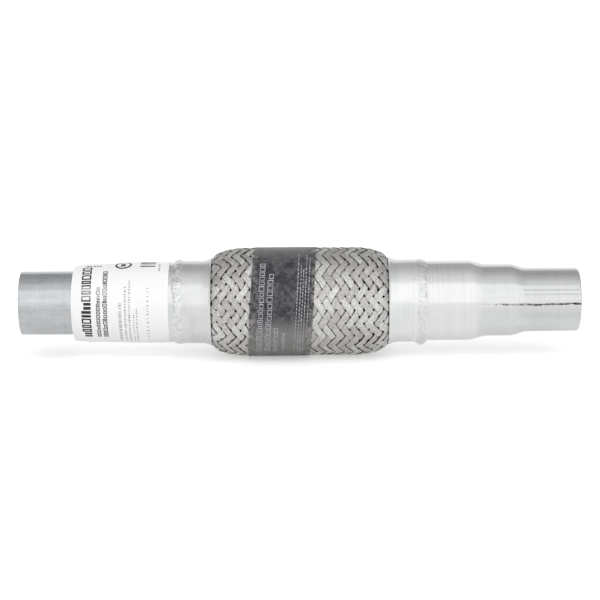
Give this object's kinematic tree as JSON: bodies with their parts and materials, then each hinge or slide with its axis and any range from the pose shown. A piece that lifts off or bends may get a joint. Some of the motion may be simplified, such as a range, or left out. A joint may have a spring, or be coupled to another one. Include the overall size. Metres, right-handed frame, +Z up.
{
  "type": "exhaust flex pipe",
  "caption": "Exhaust flex pipe: braided steel bellows joint with an inner braid, and a stepped pipe adapter welded to each end.",
  "frame": {"origin": "on the pipe's axis, halfway along it", "axes": "+X along the axis from the inlet to the outlet, +Z up; the pipe lies on the film round its braid"},
  "size_m": [0.35, 0.0692, 0.0688],
  "materials": {
    "pipe_steel": "aluminised steel tube, satin",
    "collar_steel": "rolled stainless steel, satin",
    "braid_wire": "braided stainless steel wire",
    "bellows_steel": "bright stainless steel sheet",
    "weld_metal": "rippled weld, slightly tarnished",
    "label_paper": "coated white paper",
    "smoked_film": "dark printed film"
  },
  "bodies": {
    "root": {"inlet_stepped_pipe": "pipe_steel", "outlet_stepped_pipe": "pipe_steel", "inlet_weld_bead": "weld_metal", "outlet_weld_bead": "weld_metal", "inlet_collar": "collar_steel", "outlet_collar": "collar_steel", "outer_braid": "braid_wire", "inner_braid": "braid_wire", "bellows": "bellows_steel", "inlet_inner_ring": "bellows_steel", "outlet_inner_ring": "bellows_steel", "paper_label": "label_paper", "film_wrap": "smoked_film"}
  },
  "joints": []
}
